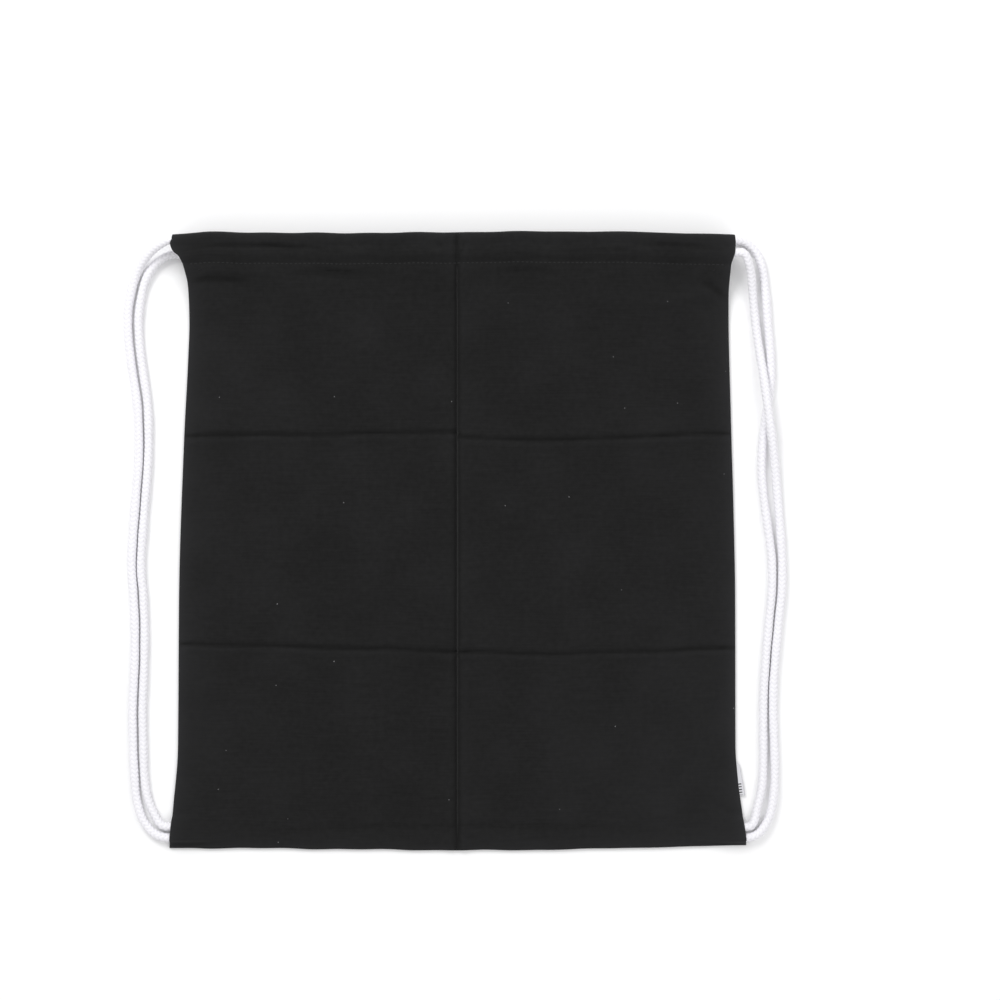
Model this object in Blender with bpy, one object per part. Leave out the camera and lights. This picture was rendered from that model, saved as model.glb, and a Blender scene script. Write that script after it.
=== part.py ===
# Cotton drawstring backpack, lying flat on its back panel with its mouth towards +Y.
# Two cloth panels are sewn together along the sides and the bottom, each with its top edge
# turned over inwards as a casing. Two cords run through both casings, and their ends are
# sewn into the bottom corners, so each cord makes one shoulder strap of two strands.
# Metres, +Z up. The origin is on the table, under the middle of the bag.
import math

import bpy
from mathutils import Vector

for old in list(bpy.data.objects):
    bpy.data.objects.remove(old, do_unlink=True)

# Cloth outline
BAG_HEIGHT = 0.420
MOUTH_WIDTH = 0.381  # across the casing ends
NECK_WIDTH = 0.368  # just under the casing
BELLY_WIDTH = 0.381
FOOT_WIDTH = 0.395  # across the bottom corners
FLARE_RISE = 0.068  # height over which the foot narrows to the belly
BELLY_RISE = 0.160  # height above the bottom edge where the belly starts to narrow
NECK_DROP = 0.020  # the narrowest place is this far under the stitching
NECK_RETURN = 0.004  # and the casing has its full width this far above it
CLOTH = 0.0006
CASING_DEPTH = 0.0205  # from the top fold to the stitching
MOUTH_GAP = 0.0046  # between the two casings
LOFT = 0.0124  # room between the panels in the middle of the bag

# Cord
CORD = 0.006
LANE_SPACING = 0.009  # between the two cords in one casing
CORNER_SPACING = 0.008  # between the two sewn ends of a cord
CORNER_RISE = 0.0105  # middle of the sewn ends above the bottom edge
CORNER_DEPTH = 0.015  # how far the sewn ends reach into the corner
PIVOT_REACH = 0.005  # where a strand starts to swing, outside the cloth's edge

# Sewing
SEAM_WIDTH = 0.008
SEAM_THICKNESS = 0.0012
THREAD_WIDTH = 0.0012
THREAD_THICKNESS = 0.0005
TACK_LENGTH = 0.007
LABEL_LENGTH = 0.022
LABEL_WIDTH = 0.0055
LABEL_THICKNESS = 0.0006
LABEL_RISE = 0.0345  # lower end of the label above the bottom edge
LABEL_STAND_OFF = 0.0009  # leaves room for the label to fold up past the edge
TACK_LOW = 0.2  # share of the cord's thickness where the bar tack starts
TACK_HIGH = 0.8

# Clearances
GAP = 0.0003  # between pieces that touch
EDGE_GAP = 0.0005  # between a seam allowance and the sewn edge
SEAM_END_GAP = 0.004  # between the bottom seam and a bar tack
TURN_ROOM = 0.013  # the casing's inner layer stops this far inside its end
SIDE_SLOPE = 0.035  # width over which the front panel rises from a side edge
FOOT_SLOPE = 0.045  # and from the bottom edge
SHOULDER_DROP = 0.0175  # the side edges start to rise this far under the stitching
LAP_DROP = 0.0355  # and the middle of the front panel this far under it
POCKET_SLOPE = 0.010  # width over which the front panel comes down off the cord ends
POCKET_RISE = 0.015  # and the height over which it does

# Heights above the table, worked out from the sizes above
TOP = BAG_HEIGHT / 2
FOOT = -TOP
STITCH_Y = TOP - CASING_DEPTH
CHANNEL = CORD + 2 * GAP
CASING_THICKNESS = CHANNEL + 2 * CLOTH
BACK_CORD_Z = CASING_THICKNESS / 2
FRONT_CASING_Z = CASING_THICKNESS + MOUTH_GAP
FRONT_CORD_Z = FRONT_CASING_Z + CASING_THICKNESS / 2
FRONT_TOP = FRONT_CASING_Z + CASING_THICKNESS - CLOTH  # underside of the front casing's outer layer
FRONT_STITCH = FRONT_TOP - GAP - THREAD_THICKNESS - CLOTH
SEAM_Z = CLOTH + GAP
EDGE = SEAM_Z + SEAM_THICKNESS + GAP  # underside of the front panel at a sewn edge
MIDDLE = CLOTH + LOFT
POCKET = CLOTH + CORD + 2 * GAP  # underside of the front panel over the sewn cord ends
FOLD_RADIUS = CASING_THICKNESS / 2
FOLD_Y = TOP - FOLD_RADIUS
OUTER_LANE = FOLD_Y - GAP
INNER_LANE = OUTER_LANE - LANE_SPACING
SLOPE_END = INNER_LANE - CORD / 2 - 2 * GAP  # the casing has its full height above this
SHOULDER = STITCH_Y - SHOULDER_DROP
LAP_START = STITCH_Y - LAP_DROP
TURN_X = MOUTH_WIDTH / 2 - TURN_ROOM
CORNER_Y = FOOT + CORNER_RISE
CORNER_OUTER = CORNER_Y - CORNER_SPACING / 2
CORNER_INNER = CORNER_Y + CORNER_SPACING / 2
CORNER_Z = SEAM_Z + CORD / 2
POCKET_END = CORNER_DEPTH + TACK_LENGTH + GAP
STRAND_Z = CORD / 2 + 0.00005  # middle of a strand lying on the table

BLACK = (0.016, 0.016, 0.0155)
WHITE = (0.80, 0.79, 0.82)


def smooth(value, low, high):
    part = min(1.0, max(0.0, (value - low) / (high - low)))
    return part * part * (3 - 2 * part)


def ramp(value, points):
    """Straight lines through (value, result) points, level beyond the first and the last."""
    if value <= points[0][0]:
        return points[0][1]
    for (low, first), (high, last) in zip(points, points[1:]):
        if value <= high:
            return first + (last - first) * (value - low) / (high - low)
    return points[-1][1]


def half_width(y):
    """Half the bag's width at a height y: flared foot, straight belly, drawn-in neck, casing."""
    foot_end = FOOT + FLARE_RISE
    neck = STITCH_Y - NECK_DROP
    if y < foot_end:
        return (FOOT_WIDTH + (BELLY_WIDTH - FOOT_WIDTH) * smooth(y, FOOT, foot_end)) / 2
    if y < neck:
        belly_end = FOOT + BELLY_RISE
        return (BELLY_WIDTH + (NECK_WIDTH - BELLY_WIDTH) * smooth(y, belly_end, neck)) / 2
    casing = STITCH_Y + NECK_RETURN
    return (NECK_WIDTH + (MOUTH_WIDTH - NECK_WIDTH) * smooth(y, neck, casing)) / 2


def front_height(y, inset):
    """Underside of the front panel, at a height y and a distance inset from the side edge."""
    casing = [(STITCH_Y, FRONT_STITCH), (SLOPE_END, FRONT_TOP)]
    side = ramp(y, [(SHOULDER, EDGE)] + casing)
    middle = ramp(y, [(FOOT, EDGE), (FOOT + FOOT_SLOPE, MIDDLE), (LAP_START, MIDDLE)] + casing)
    height = side + (middle - side) * min(1.0, inset / SIDE_SLOPE)
    across = ramp(inset, [(POCKET_END, 1.0), (POCKET_END + POCKET_SLOPE, 0.0)])
    low_wall = CORNER_OUTER - CORD / 2 - GAP
    high_wall = CORNER_INNER + CORD / 2 + GAP
    end = high_wall + POCKET_RISE
    along = ramp(y, [(FOOT, 0.0), (low_wall, 1.0), (high_wall, 1.0), (end, 0.0)])
    return max(height, EDGE + (POCKET - EDGE) * across * along)


def material(name, colour, roughness):
    made = bpy.data.materials.new(name)
    made.use_nodes = True
    shader = made.node_tree.nodes["Principled BSDF"]
    shader.inputs["Base Color"].default_value = (*colour, 1.0)
    shader.inputs["Roughness"].default_value = roughness
    shader.inputs["Metallic"].default_value = 0.0
    return made


def add_object(name, data, colour, roughness):
    made = bpy.data.objects.new(name, data)
    data.materials.append(material(name, colour, roughness))
    bpy.context.scene.collection.objects.link(made)
    return made


def add_layer(name, lower, upper, colour, roughness):
    """One closed body between two matching grids of points, upper above lower."""
    rows = len(lower)
    columns = len(lower[0])
    points = [point for grid in (lower, upper) for row in grid for point in row]

    def at(grid, row, column):
        return (grid * rows + row) * columns + column

    faces = []
    for row in range(rows - 1):
        for column in range(columns - 1):
            corners = [(row, column), (row + 1, column), (row + 1, column + 1), (row, column + 1)]
            faces.append([at(0, *corner) for corner in corners])
            faces.append([at(1, *corner) for corner in reversed(corners)])
    border = [(row, 0) for row in range(rows)]
    border += [(rows - 1, column) for column in range(1, columns)]
    border += [(row, columns - 1) for row in range(rows - 2, -1, -1)]
    border += [(0, column) for column in range(columns - 2, 0, -1)]
    for here, there in zip(border, border[1:] + border[:1]):
        faces.append([at(0, *there), at(0, *here), at(1, *here), at(1, *there)])
    mesh = bpy.data.meshes.new(name)
    mesh.from_pydata(points, [], faces)
    mesh.shade_smooth()
    mesh.set_sharp_from_angle(angle=math.radians(40))
    return add_object(name, mesh, colour, roughness)


def add_tube(name, points, radii=None):
    """A round cord along the points, with flat closed ends."""
    curve = bpy.data.curves.new(name, "CURVE")
    curve.dimensions = "3D"
    curve.bevel_depth = CORD / 2
    curve.bevel_resolution = 2
    curve.use_fill_caps = True
    curve.render_resolution_u = 0
    spline = curve.splines.new("POLY")
    spline.points.add(len(points) - 1)
    for index, (knot, point) in enumerate(zip(spline.points, points)):
        knot.co = (*point, 1.0)
        knot.radius = radii[index] if radii else 1.0
    return add_object(name, curve, WHITE, 0.9)


# Where the panels' grids have their columns: distances from a side edge, then the middle
INSETS = [0.0, SEAM_WIDTH, CORNER_DEPTH, POCKET_END, POCKET_END + POCKET_SLOPE, SIDE_SLOPE]
INSETS += [0.075, 0.130]


def columns_at(y, half=None):
    """(x, inset) of each column across the bag at a height y."""
    half = half_width(y) if half is None else half
    left = [(-(half - inset), inset) for inset in INSETS]
    return left + [(0.0, half)] + [(-x, inset) for x, inset in reversed(left)]


def panel_levels():
    """Heights y of the rows of a panel's outer layer, from the bottom edge to the fold."""
    low_wall = CORNER_OUTER - CORD / 2 - GAP
    high_wall = CORNER_INNER + CORD / 2 + GAP
    corner = [FOOT, low_wall, high_wall, high_wall + POCKET_RISE, FOOT + FOOT_SLOPE]
    body = [FOOT + FLARE_RISE, FOOT + 0.115, FOOT + BELLY_RISE, -0.010, 0.060, 0.110]
    neck = [LAP_START, SHOULDER, SHOULDER + 0.006, STITCH_Y - 0.004, STITCH_Y]
    return corner + body + neck + [SLOPE_END, OUTER_LANE - CORD / 2, FOLD_Y]


def casing_path():
    """(y, z, share of the way from the cloth's full width to the inner layer's) of the casing.

    Measured from a panel's outer face at z 0, past the end of its outer layer: first the outer
    side of the fold and inner layer, as far as the hem's end, paired with the inner side.
    """
    path = []
    steps = 6
    for step in range(1, steps + 1):
        angle = math.pi * step / steps
        outer = (FOLD_Y + FOLD_RADIUS * math.sin(angle), FOLD_RADIUS * (1 - math.cos(angle)))
        inside = FOLD_RADIUS - CLOTH
        inner = (FOLD_Y + inside * math.sin(angle), CLOTH + inside * (1 - math.cos(angle)))
        path.append((outer, inner, step / steps))
    slope_top = ((SLOPE_END, CASING_THICKNESS), (SLOPE_END, CASING_THICKNESS - CLOTH), 1.0)
    hem_z = CLOTH + GAP
    hem_end = ((STITCH_Y, hem_z + CLOTH), (STITCH_Y, hem_z), 1.0)
    return path + [slope_top, hem_end]


def inner_half(share):
    return MOUTH_WIDTH / 2 + (TURN_X - MOUTH_WIDTH / 2) * share


def add_back_panel():
    """Flat on the table, its casing turned over upwards."""
    outside = []
    inside = []
    for y in panel_levels():
        outside.append([(x, y, 0.0) for x, _ in columns_at(y)])
        inside.append([(x, y, CLOTH) for x, _ in columns_at(y)])
    for outer, inner, share in casing_path():
        across = [x for x, _ in columns_at(TOP, inner_half(share))]
        outside.append([(x, outer[0], outer[1]) for x in across])
        inside.append([(x, inner[0], inner[1]) for x in across])
    add_layer("back_panel", outside, inside, BLACK, 0.92)


def add_front_panel():
    """Sewn down along its sides and bottom, lofted in the middle, its casing turned under."""
    under = []
    over = []
    for y in panel_levels():
        row = [(x, y, front_height(y, inset)) for x, inset in columns_at(y)]
        under.append(row)
        over.append([(x, y, z + CLOTH) for x, y, z in row])
    top = FRONT_TOP + CLOTH
    hem_drop = FRONT_TOP - FRONT_STITCH
    for outer, inner, share in casing_path():
        across = [x for x, _ in columns_at(TOP, inner_half(share))]
        drop = hem_drop if outer[0] == STITCH_Y else 0.0
        over.append([(x, outer[0], top - outer[1] - drop) for x in across])
        under.append([(x, inner[0], top - inner[1] - drop) for x in across])
    add_layer("front_panel", under, over, BLACK, 0.92)


def add_strip(name, line, width, thickness, colour):
    """A flat strip along a line of points at one lower edge; width is a vector."""
    way = Vector(line[-1]) - Vector(line[0])
    if way.cross(Vector(width)).z > 0:
        line = line[::-1]
    lower = [[point, tuple(Vector(point) + Vector(width))] for point in line]
    upper = [[(x, y, z + thickness) for x, y, z in row] for row in lower]
    return add_layer(name, lower, upper, colour, 0.9)


def add_seams():
    """The overlocked allowances inside the side edges and the bottom edge."""
    low = CORNER_INNER + CORD / 2 + 2 * GAP
    high = SHOULDER
    steps = 36
    for side, word in ((-1, "left"), (1, "right")):
        heights = [low + (high - low) * step / steps for step in range(steps + 1)]
        line = [(side * (half_width(y) - EDGE_GAP), y, SEAM_Z) for y in heights]
        add_strip(f"{word}_side_seam", line, (-side * SEAM_WIDTH, 0, 0), SEAM_THICKNESS, BLACK)
    reach = half_width(FOOT) - CORNER_DEPTH - TACK_LENGTH - SEAM_END_GAP
    line = [(-reach, FOOT + EDGE_GAP, SEAM_Z), (reach, FOOT + EDGE_GAP, SEAM_Z)]
    add_strip("bottom_seam", line, (0, SEAM_WIDTH, 0), SEAM_THICKNESS, BLACK)


def add_casing_stitching():
    """One row of thread on each casing, along the hem's end."""
    y = STITCH_Y
    reach = TURN_X - GAP
    front_z = FRONT_STITCH + CLOTH + GAP
    hem_top = CLOTH + GAP + CLOTH
    slope = (CASING_THICKNESS - hem_top) / (SLOPE_END - STITCH_Y)
    back_z = hem_top + slope * THREAD_WIDTH + GAP
    for name, z in (("front_casing_stitching", front_z), ("back_casing_stitching", back_z)):
        line = [(-reach, y - THREAD_WIDTH, z), (reach, y - THREAD_WIDTH, z)]
        add_strip(name, line, (0, THREAD_WIDTH, 0), THREAD_THICKNESS, BLACK)


def add_casing_cords():
    """Each cord's two runs through the casings, and its turn at the far end."""
    out = MOUTH_WIDTH / 2 + PIVOT_REACH - CORD / 2 - GAP
    back = BACK_CORD_Z
    front = FRONT_CORD_Z
    lanes = {"left": (OUTER_LANE, INNER_LANE), "right": (INNER_LANE, OUTER_LANE)}
    for side, word in ((-1, "left"), (1, "right")):
        front_y, back_y = lanes[word]
        for name, y, z in (("front", front_y, front), ("back", back_y, back)):
            run = [(side * out, y, z), (0.0, y, z), (-side * (TURN_X - GAP), y, z)]
            add_tube(f"{word}_cord_{name}_run", run)
        lead = 0.001
        start = Vector((-side * TURN_X, front_y, front))
        end = Vector((-side * TURN_X, back_y, back))
        arm = (start - end) / 2
        middle = (start + end) / 2 + Vector((-side * lead, 0, 0))
        outward = Vector((-side * arm.length, 0, 0))
        steps = 10
        turn = [start]
        for step in range(steps + 1):
            angle = math.pi * step / steps
            turn.append(middle + arm * math.cos(angle) + outward * math.sin(angle))
        turn.append(end)
        add_tube(f"{word}_cord_turn", turn)


def add_cord_ends():
    """The two sewn ends of each cord inside a bottom corner, joined by their bar tack."""
    foot_half = half_width(CORNER_Y)
    out = foot_half + PIVOT_REACH - CORD / 2 - GAP
    end = foot_half - CORNER_DEPTH
    for side, word in ((-1, "left"), (1, "right")):
        name = f"{word}_cord_ends"
        mesh = bpy.data.meshes.new(name)
        across = (end - TACK_LENGTH, end + GAP)
        along = (CORNER_OUTER - CORD / 2 + GAP, CORNER_INNER + CORD / 2 - GAP)
        heights = (SEAM_Z + CORD * TACK_LOW, SEAM_Z + CORD * TACK_HIGH)
        corners = [(x * side, y, z) for z in heights for y in along for x in across]
        faces = [(0, 2, 3, 1), (4, 5, 7, 6), (0, 1, 5, 4), (2, 6, 7, 3), (0, 4, 6, 2), (1, 3, 7, 5)]
        if side < 0:
            faces = [tuple(reversed(face)) for face in faces]
        mesh.from_pydata(corners, [], faces)
        tack = add_object(name, mesh, WHITE, 0.9)
        for which, y in (("outer", CORNER_OUTER), ("inner", CORNER_INNER)):
            bpy.ops.mesh.primitive_cylinder_add(
                vertices=12,
                radius=CORD / 2,
                depth=out - end,
                location=(side * (out + end) / 2, y, CORNER_Z),
                rotation=(0, math.pi / 2, 0),
            )
            stub = bpy.context.object
            stub.name = f"{name}_{which}"
            stub.hide_render = True
            stub.display_type = "WIRE"
            union = tack.modifiers.new(which, "BOOLEAN")
            union.operation = "UNION"
            union.object = stub


def smooth_route(route, spacing):
    """Evenly spaced points on a smooth curve through the route's points."""
    knots = [Vector(point) for point in route]
    knots = [2 * knots[0] - knots[1]] + knots + [2 * knots[-1] - knots[-2]]
    dense = []
    for a, b, c, d in zip(knots, knots[1:], knots[2:], knots[3:]):
        for part in range(16):
            t = part / 16
            slope_b = (c - a) / 2
            slope_c = (d - b) / 2
            dense.append(
                b * (2 * t**3 - 3 * t**2 + 1)
                + slope_b * (t**3 - 2 * t**2 + t)
                + c * (3 * t**2 - 2 * t**3)
                + slope_c * (t**3 - t**2)
            )
    dense.append(knots[-2])
    along = [0.0]
    for here, there in zip(dense, dense[1:]):
        along.append(along[-1] + (there - here).length)
    count = round(along[-1] / spacing)
    even = []
    place = 0
    for step in range(count + 1):
        wanted = along[-1] * step / count
        while place < len(dense) - 2 and along[place + 1] < wanted:
            place += 1
        share = (wanted - along[place]) / (along[place + 1] - along[place])
        even.append(dense[place].lerp(dense[place + 1], share))
    return even


TOP_PIVOT = MOUTH_WIDTH / 2 + PIVOT_REACH
FOOT_PIVOT = half_width(CORNER_Y) + PIVOT_REACH

# The free strands between a casing end and the bottom corner, on the table
ROUTES = {
    "left_cord_front_strand": [
        (-TOP_PIVOT, OUTER_LANE, FRONT_CORD_Z),
        (-0.2025, 0.2030, 0.0143),
        (-0.2095, 0.1983, 0.0105),
        (-0.2155, 0.1915, 0.0068),
        (-0.2203, 0.1830, 0.0041),
        (-0.2238, 0.1720, STRAND_Z),
        (-0.2262, 0.1570, STRAND_Z),
        (-0.2260, 0.1400, STRAND_Z),
        (-0.2241, 0.1225, STRAND_Z),
        (-0.2214, 0.1050, STRAND_Z),
        (-0.2194, 0.0870, STRAND_Z),
        (-0.2188, 0.0610, STRAND_Z),
        (-0.2202, 0.0390, STRAND_Z),
        (-0.2225, 0.0080, STRAND_Z),
        (-0.2238, -0.0160, STRAND_Z),
        (-0.2225, -0.0380, STRAND_Z),
        (-0.2215, -0.0630, STRAND_Z),
        (-0.2220, -0.0890, STRAND_Z),
        (-0.2232, -0.1160, STRAND_Z),
        (-0.2228, -0.1420, STRAND_Z),
        (-0.2218, -0.1640, STRAND_Z),
        (-0.2203, -0.1780, STRAND_Z),
        (-0.2165, -0.1905, 0.0032),
        (-0.2100, -0.1995, 0.0035),
        (-FOOT_PIVOT, CORNER_OUTER, CORNER_Z),
    ],
    "left_cord_back_strand": [
        (-TOP_PIVOT, INNER_LANE, BACK_CORD_Z),
        (-0.2022, 0.1940, 0.0036),
        (-0.2085, 0.1888, 0.0032),
        (-0.2135, 0.1805, STRAND_Z),
        (-0.2168, 0.1690, STRAND_Z),
        (-0.2188, 0.1530, STRAND_Z),
        (-0.2182, 0.1350, STRAND_Z),
        (-0.2156, 0.1150, STRAND_Z),
        (-0.2130, 0.0970, STRAND_Z),
        (-0.2120, 0.0790, STRAND_Z),
        (-0.2124, 0.0530, STRAND_Z),
        (-0.2152, 0.0160, STRAND_Z),
        (-0.2172, -0.0160, STRAND_Z),
        (-0.2156, -0.0380, STRAND_Z),
        (-0.2147, -0.0630, STRAND_Z),
        (-0.2152, -0.0890, STRAND_Z),
        (-0.2162, -0.1160, STRAND_Z),
        (-0.2157, -0.1420, STRAND_Z),
        (-0.2150, -0.1610, STRAND_Z),
        (-0.2130, -0.1750, STRAND_Z),
        (-0.2088, -0.1862, 0.0033),
        (-FOOT_PIVOT, CORNER_INNER, CORNER_Z),
    ],
    "right_cord_front_strand": [
        (TOP_PIVOT, INNER_LANE, FRONT_CORD_Z),
        (0.1994, 0.1900, 0.0140),
        (0.2016, 0.1815, 0.0100),
        (0.2029, 0.1705, 0.0062),
        (0.2043, 0.1575, 0.0038),
        (0.2060, 0.1430, 0.0038),
        (0.2082, 0.1270, 0.0056),
        (0.2108, 0.1090, 0.0084),
        (0.2133, 0.0900, 0.0097),
        (0.2160, 0.0710, 0.0080),
        (0.2184, 0.0520, 0.0048),
        (0.2203, 0.0320, STRAND_Z),
        (0.2222, 0.0080, STRAND_Z),
        (0.2236, -0.0150, STRAND_Z),
        (0.2233, -0.0350, STRAND_Z),
        (0.2212, -0.0550, STRAND_Z),
        (0.2192, -0.0770, STRAND_Z),
        (0.2177, -0.0970, STRAND_Z),
        (0.2173, -0.1160, STRAND_Z),
        (0.2180, -0.1380, STRAND_Z),
        (0.2185, -0.1580, STRAND_Z),
        (0.2178, -0.1745, STRAND_Z),
        (0.2150, -0.1888, 0.0032),
        (0.2092, -0.1990, 0.0035),
        (FOOT_PIVOT, CORNER_OUTER, CORNER_Z),
    ],
    "right_cord_back_strand": [
        (TOP_PIVOT, OUTER_LANE, BACK_CORD_Z),
        (0.2018, 0.2022, 0.0036),
        (0.2070, 0.1957, 0.0032),
        (0.2102, 0.1855, STRAND_Z),
        (0.2122, 0.1700, STRAND_Z),
        (0.2138, 0.1490, STRAND_Z),
        (0.2156, 0.1270, STRAND_Z),
        (0.2156, 0.1080, STRAND_Z),
        (0.2132, 0.0900, STRAND_Z),
        (0.2104, 0.0710, STRAND_Z),
        (0.2093, 0.0510, STRAND_Z),
        (0.2105, 0.0330, STRAND_Z),
        (0.2134, 0.0110, STRAND_Z),
        (0.2162, -0.0110, STRAND_Z),
        (0.2164, -0.0330, STRAND_Z),
        (0.2144, -0.0550, STRAND_Z),
        (0.2123, -0.0790, STRAND_Z),
        (0.2107, -0.1030, STRAND_Z),
        (0.2103, -0.1300, STRAND_Z),
        (0.2104, -0.1530, STRAND_Z),
        (0.2094, -0.1690, STRAND_Z),
        (0.2065, -0.1825, 0.0032),
        (FOOT_PIVOT, CORNER_INNER, CORNER_Z),
    ],
}


def add_strands():
    """Free strands, each rounded off at both ends where the strap swings."""
    rounding = ((0.98, 0.20), (0.80, 0.60), (0.45, 0.893))
    for name, route in ROUTES.items():
        points = smooth_route(route, 2 * CORD)
        start_way = (points[0] - points[1]).normalized() * CORD / 2
        end_way = (points[-1] - points[-2]).normalized() * CORD / 2
        start = [points[0] + start_way * reach for reach, _ in rounding]
        end = [points[-1] + end_way * reach for reach, _ in reversed(rounding)]
        shares = [share for _, share in rounding]
        radii = shares + [1.0] * len(points) + shares[::-1]
        add_tube(name, start + points + end, radii)


def add_label():
    """A small woven label that stands out of the right side seam, on its own fold line."""
    low = FOOT + LABEL_RISE
    steps = 6
    heights = [low + LABEL_LENGTH * step / steps for step in range(steps + 1)]
    line = [(half_width(y) + LABEL_STAND_OFF, y, SEAM_Z) for y in heights]
    hinge = bpy.data.objects.new("label_fold_line", None)
    hinge.location = line[0]
    bpy.context.scene.collection.objects.link(hinge)
    label = add_strip("side_label", line, (LABEL_WIDTH, 0, 0), LABEL_THICKNESS, WHITE)
    label.parent = hinge
    label.matrix_parent_inverse.translation = -hinge.location


add_back_panel()
add_front_panel()
add_seams()
add_casing_stitching()
add_casing_cords()
add_cord_ends()
add_strands()
add_label()
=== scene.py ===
import math

import bpy
import numpy as np
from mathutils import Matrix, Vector


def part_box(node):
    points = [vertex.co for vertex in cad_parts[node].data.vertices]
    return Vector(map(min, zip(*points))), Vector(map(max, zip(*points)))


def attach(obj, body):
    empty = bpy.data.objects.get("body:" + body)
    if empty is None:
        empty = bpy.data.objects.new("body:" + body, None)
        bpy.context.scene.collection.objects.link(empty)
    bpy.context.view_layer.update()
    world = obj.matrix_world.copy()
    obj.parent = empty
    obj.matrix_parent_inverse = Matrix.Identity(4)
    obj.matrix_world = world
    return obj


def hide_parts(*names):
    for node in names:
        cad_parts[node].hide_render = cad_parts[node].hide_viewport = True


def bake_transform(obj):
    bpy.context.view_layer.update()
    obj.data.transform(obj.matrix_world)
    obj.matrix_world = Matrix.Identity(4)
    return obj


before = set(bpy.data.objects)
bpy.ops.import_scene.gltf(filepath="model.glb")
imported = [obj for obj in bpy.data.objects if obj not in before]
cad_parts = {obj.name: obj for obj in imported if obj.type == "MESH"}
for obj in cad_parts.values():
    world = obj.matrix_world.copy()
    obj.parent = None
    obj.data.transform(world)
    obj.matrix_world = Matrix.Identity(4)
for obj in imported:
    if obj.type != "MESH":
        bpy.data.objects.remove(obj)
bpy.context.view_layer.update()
panelLow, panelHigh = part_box("front_panel")
print("frame loaded")

# What the frame says about the bag
bagTop = panelHigh.y
bagFoot = panelLow.y
bagTall = bagTop - bagFoot
casingTop = panelHigh.z
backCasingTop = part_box("back_panel")[1].z
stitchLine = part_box("front_casing_stitching")[1].y
cordRadius = (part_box("left_cord_front_run")[1].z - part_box("left_cord_front_run")[0].z) / 2


def middleOf(node):
    low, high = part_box(node)
    return (low + high) / 2


frontLeftRun = middleOf("left_cord_front_run")
frontRightRun = middleOf("right_cord_front_run")
backLeftRun = middleOf("left_cord_back_run")
backRightRun = middleOf("right_cord_back_run")
cornerMiddle = middleOf("left_cord_ends")

# Straight from above, in soft light on a pale floor
view = {"height": 1.90, "aimX": 0.0295, "aimY": 0.0281, "width": 0.685, "sensor": 36.0}
studio = {"key": 28.0, "fill": 11.0, "low": 6.0, "surround": 0.60, "floor": (0.96, 0.96, 0.965)}


def addCamera():
    bpy.ops.object.camera_add(location=(view["aimX"], view["aimY"], view["height"]), rotation=(0, 0, 0))
    camera = bpy.context.object
    camera.name = "camera"
    camera.data.sensor_width = view["sensor"]
    camera.data.lens = view["sensor"] * (view["height"] - casingTop / 2) / view["width"]
    bpy.context.scene.camera = camera


def addLamp(name, place, size, power):
    bpy.ops.object.light_add(type="AREA", location=place)
    lamp = bpy.context.object
    lamp.name = name
    lamp.data.shape = "DISK"
    lamp.data.size = size
    lamp.data.energy = power
    aim = Vector((0, 0, 0)) - Vector(place)
    lamp.rotation_euler = aim.to_track_quat("-Z", "Y").to_euler()


addCamera()
addLamp("keyLamp", (-0.9, 1.5, 1.7), 1.2, studio["key"])
addLamp("fillLamp", (1.3, 0.5, 1.9), 1.6, studio["fill"])
addLamp("lowLamp", (0.2, -1.6, 1.5), 1.6, studio["low"])
bpy.context.scene.view_settings.view_transform = "Standard"
world = bpy.data.worlds.new("surround")
bpy.context.scene.world = world
world.use_nodes = True
world.node_tree.nodes["Background"].inputs["Color"].default_value = (1.0, 1.0, 1.0, 1.0)
world.node_tree.nodes["Background"].inputs["Strength"].default_value = studio["surround"]
print("camera and lamps placed")


class Wire:  # one socket of a node tree, with arithmetic on it
    def __init__(self, tree, socket):
        self.tree = tree
        self.socket = socket

    def combine(self, kind, *values):
        node = self.tree.nodes.new("ShaderNodeMath")
        node.operation = kind
        for place, value in zip(node.inputs, values):
            connect(self.tree, value, place)
        return Wire(self.tree, node.outputs[0])

    def __add__(self, other):
        return self.combine("ADD", self, other)

    def __radd__(self, other):
        return self.combine("ADD", other, self)

    def __sub__(self, other):
        return self.combine("SUBTRACT", self, other)

    def __rsub__(self, other):
        return self.combine("SUBTRACT", other, self)

    def __mul__(self, other):
        return self.combine("MULTIPLY", self, other)

    def __rmul__(self, other):
        return self.combine("MULTIPLY", other, self)

    def __truediv__(self, other):
        return self.combine("DIVIDE", self, other)

    def __gt__(self, other):
        return self.combine("GREATER_THAN", self, other)

    def __lt__(self, other):
        return self.combine("LESS_THAN", self, other)

    def sine(self):
        return self.combine("SINE", self)

    def fraction(self):
        return self.combine("FRACT", self)

    def size(self):
        return self.combine("ABSOLUTE", self)

    def most(self, other):
        return self.combine("MAXIMUM", self, other)

    def least(self, other):
        return self.combine("MINIMUM", self, other)

    def between(self, low, high):
        return ((self - low) / (high - low)).most(0.0).least(1.0)


def connect(tree, value, place):
    if isinstance(value, Wire):
        tree.links.new(value.socket, place)
    elif isinstance(value, (tuple, list)) and len(value) == 3 and len(place.default_value) == 4:
        place.default_value = (*value, 1.0)
    else:
        place.default_value = value


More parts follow.
